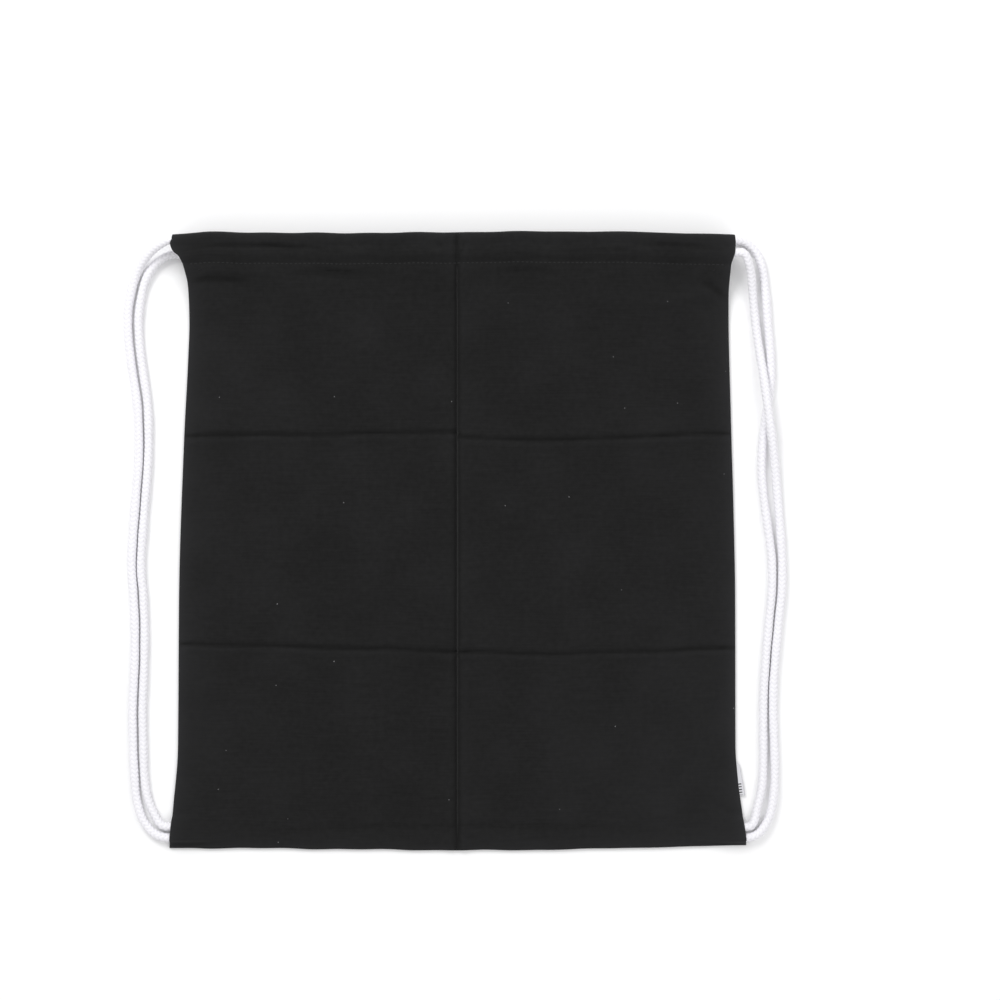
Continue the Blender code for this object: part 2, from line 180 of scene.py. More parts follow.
class Finish:  # a material being put together
    def __init__(self, name, roughness, sheen=0.0, sheenRoughness=0.5, specular=0.5):
        self.material = bpy.data.materials.new(name)
        self.material.use_nodes = True
        self.tree = self.material.node_tree
        self.shader = self.tree.nodes["Principled BSDF"]
        self.shader.inputs["Roughness"].default_value = roughness
        self.shader.inputs["Sheen Weight"].default_value = sheen
        self.shader.inputs["Sheen Roughness"].default_value = sheenRoughness
        self.shader.inputs["Specular IOR Level"].default_value = specular

    def node(self, kind, settings, values, output=0):
        made = self.tree.nodes.new(kind)
        for name, value in settings.items():
            setattr(made, name, value)
        for name, value in values.items():
            connect(self.tree, value, made.inputs[name])
        return Wire(self.tree, made.outputs[output])

    def noise(self, place, scale, detail=2.0):
        return self.node("ShaderNodeTexNoise", {}, {"Vector": place, "Scale": scale, "Detail": detail})

    def cells(self, place, scale, output):
        settings = {"voronoi_dimensions": "2D"}
        return self.node("ShaderNodeTexVoronoi", settings, {"Vector": place, "Scale": scale}, output=output)

    def mix(self, share, first, second):
        return self.node("ShaderNodeMix", {"data_type": "RGBA"}, {0: share, 6: first, 7: second}, output=2)

    def here(self):
        return self.node("ShaderNodeTexCoord", {}, {}, output="Object")

    def attribute(self, name, output="Fac"):
        return self.node("ShaderNodeAttribute", {"attribute_name": name}, {}, output=output)

    def split(self, vector):
        made = self.tree.nodes.new("ShaderNodeSeparateXYZ")
        connect(self.tree, vector, made.inputs[0])
        return [Wire(self.tree, socket) for socket in made.outputs]

    def bump(self, height, distance, strength=1.0):
        values = {"Height": height, "Distance": distance, "Strength": strength}
        connect(self.tree, self.node("ShaderNodeBump", {}, values), self.shader.inputs["Normal"])

    def colour(self, value):
        connect(self.tree, value, self.shader.inputs["Base Color"])

    def roughness(self, value):
        connect(self.tree, value, self.shader.inputs["Roughness"])


cottonLook = {
    # painted shade colour for the creases and narrow valley folds
    "paintedCreaseShade": (0.0022, 0.0022, 0.0022),
    "deep": (0.0066, 0.0066, 0.0066),
    "pale": (0.0138, 0.0138, 0.0140),
    "worn": (0.0225, 0.0225, 0.0240),
    "lint": (0.34, 0.34, 0.35),
    "sheen": 0.055,
    "pitch": 0.00058,  # of the weave's yarns
    "yarnDepth": 0.00011,
    "slubs": 1400.0,
    "mottles": 260.0,
    "clouds": 17.0,
    "lintCells": 26.0,
    "lintSize": 0.0085,
    "lintFrom": 0.72,  # cells above this share hold a speck
}


def makeCotton():
    look = cottonLook
    finish = Finish("blackCotton", 0.93, sheen=look["sheen"], sheenRoughness=0.45, specular=0.18)
    place = finish.attribute("clothPlace", "Vector")
    across, along, _ = finish.split(place)
    turns = 2 * math.pi / look["pitch"]
    crossing = (across * turns).sine() * (along * turns).sine()  # plain weave
    weft = (along * (turns / 2)).sine().size()
    warp = (across * (turns / 2)).sine().size()
    slub = finish.noise(place, look["slubs"], 3.0)
    drawn = finish.node("ShaderNodeVectorMath", {"operation": "MULTIPLY"}, {0: place, 1: (40.0, 900.0, 1.0)})
    bands = finish.noise(drawn, 1.0, 2.0)
    height = crossing * 0.45 + weft * 0.3 + warp * 0.25 + slub * 0.9 + bands * 0.35
    finish.bump(height, look["yarnDepth"], 0.75)
    cloud = finish.noise(place, look["clouds"], 3.0)
    mottle = finish.noise(place, look["mottles"], 4.0)
    tone = cloud.between(0.30, 0.72) * 0.22 + mottle.between(0.3, 0.72) * 0.45
    tone = tone + bands.between(0.3, 0.7) * 0.30
    base = finish.mix(tone.least(1.0), look["deep"], look["pale"])
    # the wear attribute: above 0 the cloth is painted paler (rubbed wear, and painted highlight beside the
    # creases), below 0 painted shade in the creases and folds
    wear = finish.attribute("wear")
    paintedCreaseShade = finish.mix((wear * -1.0).most(0.0).least(1.0), base, look["paintedCreaseShade"])
    # paler where rubbed, and painted highlight beside the creases
    worn = finish.mix(wear.most(0.0).least(1.0), paintedCreaseShade, look["worn"])
    red, green, _ = finish.split(finish.cells(place, look["lintCells"], "Color"))
    fleck = finish.cells(place, look["lintCells"], "Distance")
    lint = (fleck < look["lintSize"]) * (red > look["lintFrom"]) * (green * 0.6 + 0.2)
    finish.colour(finish.mix(lint, worn, look["lint"]))
    finish.roughness(0.90 + slub * 0.08)
    return finish.material


# the groove colour is painted shade in the braid's grooves
cordLook = {"thread": (0.915, 0.905, 0.945), "grooveShade": (0.78, 0.77, 0.81), "fuzz": 5200.0}


def makeCordCotton():
    look = cordLook
    finish = Finish("whiteCord", 0.88, sheen=0.25, sheenRoughness=0.6, specular=0.25)
    relief = finish.attribute("relief")
    around, along, _ = finish.split(finish.attribute("cordPlace", "Vector"))
    strands = ((along * 6500.0 + around * 34.0).sine() + 1.0) * 0.5
    fuzz = finish.noise(finish.here(), look["fuzz"], 3.0)
    finish.bump(strands * 0.5 + fuzz * 0.8, 0.00012, 0.6)
    grime = finish.noise(finish.here(), 60.0, 3.0)
    # the braid's grooves are painted darker as shade, mixed with random fuzz and grime
    shade = (relief.between(0.0, 0.6) * 0.80 + fuzz * 0.22 + grime * 0.10).least(1.0)
    finish.colour(finish.mix(shade, look["grooveShade"], look["thread"]))
    return finish.material


def makeThread(name, dark, pale, sheen):
    finish = Finish(name, 0.7, sheen=sheen, sheenRoughness=0.4, specular=0.35)
    place = finish.here()
    across, along, _ = finish.split(place)
    ply = ((across * 9000.0 + along * 5200.0).sine() + 1.0) * 0.5
    grain = finish.noise(place, 2600.0, 2.0)
    finish.bump(ply * 0.6 + grain * 0.4, 0.00008, 0.7)
    # half of the thread's colour follows its ply ridges: painted shade in the grooves between plies, with
    # random grain
    finish.colour(finish.mix(ply * 0.5 + grain * 0.5, dark, pale))
    return finish.material


labelLook = {
    "ground": (0.74, 0.74, 0.77),
    "shade": (0.55, 0.55, 0.58),
    "mark": (0.05, 0.05, 0.055),
    "barPitch": 0.0019,
    "barsFrom": 0.0006,
    "barsTo": 0.0084,
    "barStart": 0.0004,
    "barEnd": 0.0030,
}


def makeLabelWeave():
    look = labelLook
    finish = Finish("labelWeave", 0.6, sheen=0.15, sheenRoughness=0.4, specular=0.4)
    across, along, _ = finish.split(finish.attribute("clothPlace", "Vector"))
    ribs = ((along * 15000.0).sine() + 1.0) * 0.5
    grain = finish.noise(finish.here(), 3200.0, 2.0)
    finish.bump(ribs * 0.7 + grain * 0.5, 0.00006, 0.7)
    ground = finish.mix(ribs * 0.5 + grain * 0.5, look["shade"], look["ground"])
    bars = ((along / look["barPitch"]).fraction() < 0.42) * (along > look["barsFrom"])
    inside = (along < look["barsTo"]) * (across > look["barStart"]) * (across < look["barEnd"])
    finish.colour(finish.mix(bars * inside, ground, look["mark"]))
    return finish.material


def makeFloor():
    finish = Finish("paleFloor", 0.95, specular=0.1)
    grain = finish.noise(finish.here(), 3.0, 2.0)
    near = tuple(share * 0.995 for share in studio["floor"])
    finish.colour(finish.mix(grain, near, studio["floor"]))
    return finish.material


blackCotton = makeCotton()
whiteCord = makeCordCotton()
blackThread = makeThread("blackThread", (0.006, 0.006, 0.006), (0.022, 0.022, 0.023), 0.1)
whiteThread = makeThread("whiteThread", (0.45, 0.44, 0.47), (0.78, 0.77, 0.80), 0.1)
labelWeave = makeLabelWeave()
bpy.ops.mesh.primitive_plane_add(size=9.0, location=(0, 0, 0))
floor = bpy.context.object
floor.name = "floor"
floor.data.materials.append(makeFloor())
print("materials made")


def smooth(value, low, high):
    part = np.clip((value - low) / (high - low), 0, 1)
    return part * part * (3 - 2 * part)


def through(value, points):  # a smooth line through (value, result) points, level beyond the ends
    known = np.array([point[0] for point in points])
    result = np.array([point[1] for point in points])
    steps = np.diff(result) / np.diff(known)
    slopes = np.zeros(len(points))
    both = steps[:-1] * steps[1:] > 0
    slopes[1:-1][both] = 2 * steps[:-1][both] * steps[1:][both] / (steps[:-1][both] + steps[1:][both])
    value = np.clip(value, known[0], known[-1])
    place = np.clip(np.searchsorted(known, value, side="right") - 1, 0, len(points) - 2)
    gap = known[place + 1] - known[place]
    t = (value - known[place]) / gap
    start = result[place] * (2 * t**3 - 3 * t**2 + 1) + slopes[place] * gap * (t**3 - 2 * t**2 + t)
    return start + result[place + 1] * (3 * t**2 - 2 * t**3) + slopes[place + 1] * gap * (t**3 - t**2)


def softNoise(x, y, size, seed):  # rolling bumps about `size` across, between about -1 and 1
    total = np.zeros(np.broadcast(x, y).shape)
    for turn in range(7):
        angle = seed * 1.7 + turn * 2.399
        stretch = 0.7 + 0.23 * turn
        wave = (x * math.cos(angle) + y * math.sin(angle)) * 2 * math.pi / size * stretch
        total = total + np.sin(wave + seed * 5.1 + turn * 1.9) / (0.6 + 0.4 * stretch)
    return total / 3.2


def foldRidge(x, y, fold):  # a soft ridge or valley along a short straight fold, worn away at its ends
    startX, startY, endX, endY, wide, high = fold
    wayX, wayY = endX - startX, endY - startY
    length = math.hypot(wayX, wayY)
    along = ((x - startX) * wayX + (y - startY) * wayY) / length
    side = ((x - startX) * -wayY + (y - startY) * wayX) / length
    bend = side + 0.10 * length * (np.clip(along / length, 0, 1) - 0.5) ** 2
    fade = smooth(along, 0, length * 0.35) * (1 - smooth(along, length * 0.65, length))
    return high * fade * np.exp(-((bend / wide) ** 2))


def crease(distance, wide, deep):  # a pressed fold: a sharp valley with a soft lip on each side
    valley = -deep * np.exp(-np.abs(distance) / wide)
    lip = 0.55 * deep * np.exp(-(((distance + 2.6 * wide) / (2.2 * wide)) ** 2))
    lip += 0.35 * deep * np.exp(-(((distance - 2.8 * wide) / (2.4 * wide)) ** 2))
    return valley + lip


def gridPiece(name, x, y, z, place, wear, material, thick=0.0, flip=False):
    rows, columns = x.shape
    points = np.stack([x, y, z], axis=2).reshape(-1, 3)
    first = (np.arange(rows - 1)[:, None] * columns + np.arange(columns - 1)[None, :]).ravel()
    quads = np.stack([first, first + 1, first + columns + 1, first + columns], axis=1)
    if flip:
        quads = quads[:, ::-1]
    mesh = bpy.data.meshes.new(name)
    mesh.from_pydata(points.tolist(), [], quads.tolist())
    spot = mesh.attributes.new("clothPlace", "FLOAT_VECTOR", "POINT")
    spot.data.foreach_set("vector", place.reshape(-1, 3).astype(np.float32).ravel())
    # per-point wear: paler where rubbed and as painted highlight beside the creases, darker as painted crease
    # shade
    worn = mesh.attributes.new("wear", "FLOAT", "POINT")
    worn.data.foreach_set("value", wear.astype(np.float32).ravel())
    mesh.materials.append(material)
    mesh.shade_smooth()
    piece = bpy.data.objects.new(name, mesh)
    bpy.context.scene.collection.objects.link(piece)
    if thick:
        choose(piece)
        wall = piece.modifiers.new("wall", "SOLIDIFY")
        wall.thickness = thick
        wall.offset = -1
        bpy.ops.object.modifier_apply(modifier="wall")
    return piece


def choose(*things):
    bpy.ops.object.select_all(action="DESELECT")
    for thing in things:
        thing.select_set(True)
    bpy.context.view_layer.objects.active = things[0]


braid = {"columns": 8, "period": 0.0031, "slant": 0.0011, "depth": 0.00034, "ring": 0.00042, "around": 28}
tuck = {"casing": 0.0105, "corner": 0.0125}  # how far a strand goes on into the cloth
laid = 0.00305  # middle of a strand that lies on the table
archReach = 0.183  # the mouth's arch springs from here

pivotX = 0.1955
footX = 0.20205
cornerOuter = cornerMiddle.y - 0.004
cornerInner = cornerMiddle.y + 0.004
cornerZ = 0.0039

# Free strands between a casing end and the bottom corner, on the table
routes = {
    "leftFrontStrand": [
        (-pivotX, frontLeftRun.y, frontLeftRun.z),
        (-0.2025, 0.2030, 0.0143),
        (-0.2095, 0.1983, 0.0105),
        (-0.2155, 0.1915, 0.0068),
        (-0.2203, 0.1830, 0.0041),
        (-0.2238, 0.1720, laid),
        (-0.2262, 0.1570, laid),
        (-0.2260, 0.1400, laid),
        (-0.2241, 0.1225, laid),
        (-0.2214, 0.1050, laid),
        (-0.2194, 0.0870, laid),
        (-0.2188, 0.0610, laid),
        (-0.2202, 0.0390, laid),
        (-0.2225, 0.0080, laid),
        (-0.2238, -0.0160, laid),
        (-0.2225, -0.0380, laid),
        (-0.2215, -0.0630, laid),
        (-0.2220, -0.0890, laid),
        (-0.2232, -0.1160, laid),
        (-0.2228, -0.1420, laid),
        (-0.2218, -0.1640, laid),
        (-0.2203, -0.1780, laid),
        (-0.2165, -0.1905, 0.0032),
        (-0.2100, -0.1995, 0.0035),
        (-footX, cornerOuter, cornerZ),
    ],
    "leftBackStrand": [
        (-pivotX, backLeftRun.y, backLeftRun.z),
        (-0.2022, 0.1940, 0.0036),
        (-0.2085, 0.1888, 0.0032),
        (-0.2135, 0.1805, laid),
        (-0.2168, 0.1690, laid),
        (-0.2188, 0.1530, laid),
        (-0.2182, 0.1350, laid),
        (-0.2156, 0.1150, laid),
        (-0.2130, 0.0970, laid),
        (-0.2120, 0.0790, laid),
        (-0.2124, 0.0530, laid),
        (-0.2152, 0.0160, laid),
        (-0.2172, -0.0160, laid),
        (-0.2156, -0.0380, laid),
        (-0.2147, -0.0630, laid),
        (-0.2152, -0.0890, laid),
        (-0.2162, -0.1160, laid),
        (-0.2157, -0.1420, laid),
        (-0.2150, -0.1610, laid),
        (-0.2130, -0.1750, laid),
        (-0.2088, -0.1862, 0.0033),
        (-footX, cornerInner, cornerZ),
    ],
    "rightFrontStrand": [
        (pivotX, frontRightRun.y, frontRightRun.z),
        (0.1994, 0.1900, 0.0140),
        (0.2016, 0.1815, 0.0100),
        (0.2029, 0.1705, 0.0062),
        (0.2043, 0.1575, 0.0038),
        (0.2060, 0.1430, 0.0038),
        (0.2082, 0.1270, 0.0056),
        (0.2108, 0.1090, 0.0084),
        (0.2133, 0.0900, 0.0097),
        (0.2160, 0.0710, 0.0080),
        (0.2184, 0.0520, 0.0048),
        (0.2203, 0.0320, laid),
        (0.2222, 0.0080, laid),
        (0.2236, -0.0150, laid),
        (0.2233, -0.0350, laid),
        (0.2212, -0.0550, laid),
        (0.2192, -0.0770, laid),
        (0.2177, -0.0970, laid),
        (0.2173, -0.1160, laid),
        (0.2180, -0.1380, laid),
        (0.2185, -0.1580, laid),
        (0.2178, -0.1745, laid),
        (0.2150, -0.1888, 0.0032),
        (0.2092, -0.1990, 0.0035),
        (footX, cornerOuter, cornerZ),
    ],
    "rightBackStrand": [
        (pivotX, backRightRun.y, backRightRun.z),
        (0.2018, 0.2022, 0.0036),
        (0.2070, 0.1957, 0.0032),
        (0.2102, 0.1855, laid),
        (0.2122, 0.1700, laid),
        (0.2138, 0.1490, laid),
        (0.2156, 0.1270, laid),
        (0.2156, 0.1080, laid),
        (0.2132, 0.0900, laid),
        (0.2104, 0.0710, laid),
        (0.2093, 0.0510, laid),
        (0.2105, 0.0330, laid),
        (0.2134, 0.0110, laid),
        (0.2162, -0.0110, laid),
        (0.2164, -0.0330, laid),
        (0.2144, -0.0550, laid),
        (0.2123, -0.0790, laid),
        (0.2107, -0.1030, laid),
        (0.2103, -0.1300, laid),
        (0.2104, -0.1530, laid),
        (0.2094, -0.1690, laid),
        (0.2065, -0.1825, 0.0032),
        (footX, cornerInner, cornerZ),
    ],
}


def evenLine(route, spacing):  # evenly spaced points on a smooth curve through the route's points
    knots = [Vector(point) for point in route]
    knots = [2 * knots[0] - knots[1]] + knots + [2 * knots[-1] - knots[-2]]
    dense = []
    for a, b, c, d in zip(knots, knots[1:], knots[2:], knots[3:]):
        for part in range(16):
            t = part / 16
            place = b * (2 * t**3 - 3 * t**2 + 1) + (c - a) / 2 * (t**3 - 2 * t**2 + t)
            dense.append(place + c * (3 * t**2 - 2 * t**3) + (d - b) / 2 * (t**3 - t**2))
    dense.append(knots[-2])
    dense = np.array([tuple(point) for point in dense])
    along = np.concatenate([[0], np.cumsum(np.linalg.norm(np.diff(dense, axis=0), axis=1))])
    wanted = np.linspace(0, along[-1], max(2, round(along[-1] / spacing)) + 1)
    return np.stack([np.interp(wanted, along, dense[:, axis]) for axis in range(3)], axis=1), wanted


def braidRelief(turn, along):  # columns of slanted yarns that meet in Vs, 0 in a groove, 1 on a crown
    column = turn / (2 * math.pi) * braid["columns"]
    inside = (column % 1) * 2 - 1
    lean = np.where(np.floor(column) % 2 == 0, 1.0, -1.0)
    phase = (along + lean * inside * braid["slant"]) / braid["period"]
    crown = (0.5 + 0.5 * np.cos(2 * math.pi * phase)) ** 0.6
    return crown * (1 - 0.42 * inside**4)


def cordMesh(name, route, plain=False):
    spacing = 0.004 if plain else braid["ring"]
    around = 12 if plain else braid["around"]
    points, along = evenLine(route, spacing)
    ways = np.gradient(points, axis=0)
    ways /= np.linalg.norm(ways, axis=1)[:, None]
    up = np.array([0.0, 0.0, 1.0])
    sideWays = np.cross(ways, up)
    sideWays /= np.linalg.norm(sideWays, axis=1)[:, None]
    upWays = np.cross(sideWays, ways)
    turn = np.arange(around) * 2 * math.pi / around
    grid = np.broadcast_to(turn, (len(points), around))
    twist = grid + 0.5 * np.sin(along * 11)[:, None]
    relief = braidRelief(twist, along[:, None]) if not plain else np.full(grid.shape, 0.6)
    lump = 0.00012 * np.sin(along * 210 + 1.3) * np.sin(along * 37)
    radius = cordRadius - braid["depth"] + braid["depth"] * relief * 1.25 + lump[:, None]
    rim = sideWays[:, None, :] * np.cos(grid)[:, :, None] + upWays[:, None, :] * np.sin(grid)[:, :, None]
    verts = (points[:, None, :] + rim * radius[:, :, None]).reshape(-1, 3)
    rings = len(points)
    verts = np.concatenate([verts, points[:1] - ways[:1] * 0.0004, points[-1:] + ways[-1:] * 0.0004])
    ring = np.arange(rings - 1)[:, None] * around
    spot = np.arange(around)[None, :]
    here = (ring + spot).ravel()
    there = (ring + (spot + 1) % around).ravel()
    faces = np.stack([here, there, there + around, here + around], axis=1).tolist()
    last = (rings - 1) * around
    for index in range(around):
        after = (index + 1) % around
        faces.append([after, index, rings * around])
        faces.append([last + index, last + after, rings * around + 1])
    mesh = bpy.data.meshes.new(name)
    mesh.from_pydata(verts.tolist(), [], faces)
    place = mesh.attributes.new("cordPlace", "FLOAT_VECTOR", "POINT")
    spots = np.zeros((len(verts), 3), np.float32)
    spots[:-2, 0] = np.abs(twist - math.pi).ravel()
    spots[:-2, 1] = np.broadcast_to(along[:, None], grid.shape).ravel()
    place.data.foreach_set("vector", spots.ravel())
    # the braid's relief also sets where groove shade is painted
    lift = mesh.attributes.new("relief", "FLOAT", "POINT")
    values = np.full(len(verts), 0.4, np.float32)
    values[:-2] = relief.ravel()
    lift.data.foreach_set("value", values)
    mesh.materials.append(whiteCord)
    mesh.shade_smooth()
    cord = bpy.data.objects.new(name, mesh)
    bpy.context.scene.collection.objects.link(cord)
    choose(cord)
    bpy.ops.object.mode_set(mode="EDIT")
    bpy.ops.mesh.select_all(action="SELECT")
    bpy.ops.mesh.normals_make_consistent(inside=False)
    bpy.ops.object.mode_set(mode="OBJECT")
    return cord, points, along[-1]


def addStrands():
    for name, route in routes.items():
        side = -1 if name.startswith("left") else 1
        word = "left" if side < 0 else "right"
        which = "front" if "Front" in name else "back"
        start, end = route[0], route[-1]
        lead = (start[0] - side * tuck["casing"], start[1], start[2])
        tail = (end[0] - side * tuck["corner"], end[1], end[2])
        cord, points, length = cordMesh(name, [lead] + route + [tail])
        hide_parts(f"{word}_cord_{which}_strand")
        side * 0.1905
        side * 0.1990
        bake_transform(cord)


def addHiddenCords():
    for side, word, front, back in (
        (-1, "left", frontLeftRun, backLeftRun),
        (1, "right", frontRightRun, backRightRun),
    ):
        near = side * (pivotX - tuck["casing"] - 0.0006)
        turnLow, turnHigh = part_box(f"{word}_cord_turn")
        far = turnHigh.x if side > 0 else turnLow.x
        halves = [(near, 0.0, "near"), (0.0, far, "far")]
        for start, end, part in halves:
            run, _, _ = cordMesh(
                f"{word}FrontRun.{part}", [(start, front.y, front.z), (end, front.y, front.z)], plain=True
            )
            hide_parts(f"{word}_cord_front_run")
            edge = side if part == "near" else -side
            edge * archReach
            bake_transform(run)
        run, _, _ = cordMesh(f"{word}BackRun", [(near, back.y, back.z), (far, back.y, back.z)], plain=True)
        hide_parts(f"{word}_cord_back_run")
        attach(run, "bag")
        high = Vector((far, front.y, front.z))
        low = Vector((far, back.y, back.z))
        arm = (high - low) / 2
        middle = (high + low) / 2
        line = []
        for step in range(13):
            angle = math.pi * step / 12
            outward = Vector((-side * arm.length * 0.92, 0, 0))
            line.append(tuple(middle + arm * math.cos(angle) + outward * math.sin(angle)))
        turn, _, _ = cordMesh(f"{word}Turn", line)
        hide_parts(f"{word}_cord_turn")
        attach(turn, "bag")


outline = {
    "left": [
        (-0.211, -0.1970),
        (-0.183, -0.1945),
        (-0.142, -0.1912),
        (-0.035, -0.1904),
        (0.069, -0.1870),
        (0.124, -0.1842),
        (0.150, -0.1833),
        (0.176, -0.1840),
        (0.186, -0.1857),
        (0.194, -0.1886),
        (0.1985, -0.1932),
        (0.2035, -0.1949),
        (0.2090, -0.1925),
    ],
    "right": [
        (-0.2085, 0.1980),
        (-0.191, 0.1957),
        (-0.167, 0.1925),
        (-0.142, 0.1906),
        (-0.040, 0.1904),
        (0.028, 0.1891),
        (0.076, 0.1877),
        (0.165, 0.1858),
        (0.188, 0.1866),
        (0.198, 0.1892),
        (0.205, 0.1896),
        (0.210, 0.1880),
    ],
    "top": [
        (-0.195, 0.2097),
        (-0.168, 0.2112),
        (-0.107, 0.2106),
        (0.070, 0.2116),
        (0.166, 0.2104),
        (0.189, 0.2096),
    ],
    "bottom": [
        (-0.197, -0.2106),
        (0.030, -0.2120),
        (0.120, -0.2106),
        (0.166, -0.2094),
        (0.198, -0.2086),
    ],
}
cloth = {
    "thick": 0.0006,
    "edge": 0.0027,  # height of the front cloth at its sewn edges
    "seam": 0.0009,  # height at which the front and the back meet
    "roll": 0.0009,
    "lip": 0.0007,  # radius of an open edge's roll
    "backInset": 0.0004,
    "mesh": 0.0015,
    "backMesh": 0.0024,
}
foldLine = bagTop - 0.0038
foldRadius = 0.0037
innerReach = 0.1765  # the casing's inner layer stops here, so that the cords can turn

# Height of the front cloth along the bag: its middle, and its two side edges
middleRise = [
    (-0.210, 0.0027),
    (-0.192, 0.0046),
    (-0.165, 0.0060),
    (-0.100, 0.0070),
    (0.020, 0.0078),
    (0.100, 0.0090),
    (0.145, 0.0108),
    (0.170, 0.0136),
    (stitchLine, 0.0172),
]
sideRise = [(-0.210, 0.0027), (0.142, 0.0027), (0.162, 0.0044), (0.175, 0.0086), (stitchLine, 0.0164)]
casingRise = [
    (stitchLine, 0.0172),
    (0.1915, 0.0184),
    (0.1938, 0.0198),
    (0.1968, 0.0202),
    (0.2013, 0.0197),
    (0.2056, 0.0202),
    (foldLine, 0.0202),
]

# Creases where the bag was folded up for packing: offset of each along its line
creases = {
    "upper": [
        (-0.19, 0.0722),
        (-0.10, 0.0731),
        (-0.004, 0.0746),
        (0.004, 0.0708),
        (0.06, 0.0690),
        (0.19, 0.0738),
    ],
    "lower": [
        (-0.19, -0.0706),
        (-0.08, -0.0728),
        (-0.004, -0.0746),
        (0.05, -0.0762),
        (0.12, -0.0756),
        (0.19, -0.0742),
    ],
    "wide": 0.0013,
    "deep": 0.0021,
    "middleWide": 0.0014,
    "middleDeep": 0.0024,
}

# Soft folds: start x, y, end x, y, half width, height
folds = [
    (-0.188, 0.1785, -0.138, 0.1775, 0.0022, -0.0013),
    (-0.186, 0.1840, -0.120, 0.1825, 0.0026, 0.0009),
    (-0.120, 0.1830, -0.045, 0.1830, 0.0030, -0.0009),
    (-0.130, 0.1745, -0.060, 0.1730, 0.0060, 0.0007),
    (-0.180, 0.150, -0.120, 0.176, 0.0060, 0.0007),
    (-0.165, 0.135, -0.060, 0.139, 0.0080, -0.0007),
    (-0.176, 0.120, -0.120, 0.100, 0.0070, 0.0006),
    (0.166, 0.1800, 0.188, 0.1660, 0.0018, -0.0012),
    (0.160, 0.1740, 0.184, 0.1600, 0.0034, 0.0010),
    (0.020, 0.1835, 0.075, 0.1840, 0.0016, -0.0008),
    (0.120, 0.158, 0.184, 0.172, 0.0045, 0.0009),
    (0.070, 0.150, 0.150, 0.160, 0.0060, -0.0008),
    (0.030, 0.140, 0.110, 0.152, 0.0080, 0.0007),
    (0.060, 0.105, 0.150, 0.120, 0.0090, -0.0006),
    (0.040, 0.045, 0.120, 0.030, 0.0110, 0.0007),
    (-0.022, 0.020, 0.000, -0.066, 0.0050, 0.0006),
    (-0.014, -0.060, 0.010, -0.086, 0.0022, 0.0010),
    (0.014, -0.058, -0.010, -0.090, 0.0022, 0.0008),
    (-0.176, -0.090, -0.172, -0.140, 0.0030, 0.0009),
    (-0.172, -0.130, -0.150, -0.158, 0.0040, -0.0007),
    (-0.165, -0.150, -0.060, -0.188, 0.0060, 0.0008),
    (0.176, -0.095, 0.168, -0.150, 0.0030, 0.0009),
    (0.168, -0.145, 0.140, -0.176, 0.0040, -0.0007),
    (0.155, -0.175, 0.030, -0.192, 0.0055, 0.0007),
    (-0.150, -0.194, 0.150, -0.193, 0.0022, -0.0005),
    (-0.120, -0.120, -0.040, -0.112, 0.0100, -0.0006),
    (0.050, -0.020, 0.140, -0.035, 0.0120, -0.0006),
    (-0.140, 0.020, -0.060, 0.012, 0.0120, 0.0006),
]

casingFolds = [
    (-0.190, 0.2002, -0.095, 0.2016, 0.0011, -0.0010),
    (-0.150, 0.2020, -0.075, 0.1985, 0.0012, -0.0008),
    (-0.013, 0.2060, -0.007, 0.1930, 0.0009, -0.0005),
    (0.006, 0.2060, 0.002, 0.1920, 0.0009, -0.0005),
    (0.060, 0.1970, 0.130, 0.1975, 0.0010, -0.0006),
    (0.120, 0.2025, 0.186, 0.2000, 0.0013, -0.0007),
]

stitches = {
    "pitch": 0.0031,
    "length": 0.0024,
    "radius": 0.00032,
    "reach": 0.1835,
    "below": 0.0006,  # how far under the casing's line
    "proud": 0.00008,
    "backProud": 0.0001,
}
clothRelief = {
    "swell": 0.085,  # the cloth is at its full height this far in from its sides
    "broad": 0.00050,
    "middling": 0.00024,
    "fine": 0.00009,
    "pucker": 0.00055,
    "casingWave": 0.00042,
    "casingPress": 0.0004,
    "stitchDip": 0.00045,
}
cornerRise = {"high": 0.0052, "slope": 0.0055, "innerSlope": 0.016, "flatTo": 0.009, "endsAt": 0.048}
# how much paler the cloth is painted at its rims and foot (wear), beside the creases (wear and painted
# highlight), towards the casing's top and the lower right, with random mottle; and how much painted shade
# darkens the creases and narrow valley folds
rubbedAndShaded = {
    "rim": 0.55,
    "nearRim": 0.25,
    "foot": 0.35,
    "crease": 0.12,
    "top": 0.20,
    "low": 0.16,
    "mottle": 0.08,
    "paintedCreaseShade": 0.6,
    "narrowFold": 0.0035,
    "foldShade": 620.0,
}


def edgeShift(x, y):  # how far the cloth's outline moves a point up or down from the plain rectangle
    share = (y - bagFoot) / bagTall
    low = through(x, outline["bottom"]) - bagFoot
    high = through(x, outline["top"]) - bagTop
    wave = 0.0004 * softNoise(x, y * 0.1, 0.055, 13) * (1 - smooth(np.abs(x), 0.17, 0.19))
    return low * (1 - share) ** 2 + high * np.clip(share, 0, 1) ** 2 + wave


def cornerOpening(y, inset=0.0):  # 1 where the cords go in under the cloth at the foot, wider further in
    low = cornerOuter - cordRadius
    high = cornerInner + cordRadius
    slope = cornerRise["slope"] + cornerRise["innerSlope"] * smooth(inset, 0.003, 0.030)
    return smooth(y, low - 0.0016, low + 0.0012) * (1 - smooth(y, high, high + slope))


def creaseDepth(x, y):
    upper = y - through(x, creases["upper"])
    lower = y - through(x, creases["lower"])
    fade = 0.75 + 0.35 * softNoise(x, y * 0.2, 0.09, 3)
    down = crease(upper, creases["wide"], creases["deep"]) + crease(lower, creases["wide"], creases["deep"])
    along = 0.8 + 0.4 * smooth(0.09 - y, -0.02, 0.06) * smooth(y + 0.10, -0.02, 0.05)
    return down * fade + crease(-x, creases["middleWide"], creases["middleDeep"]) * along


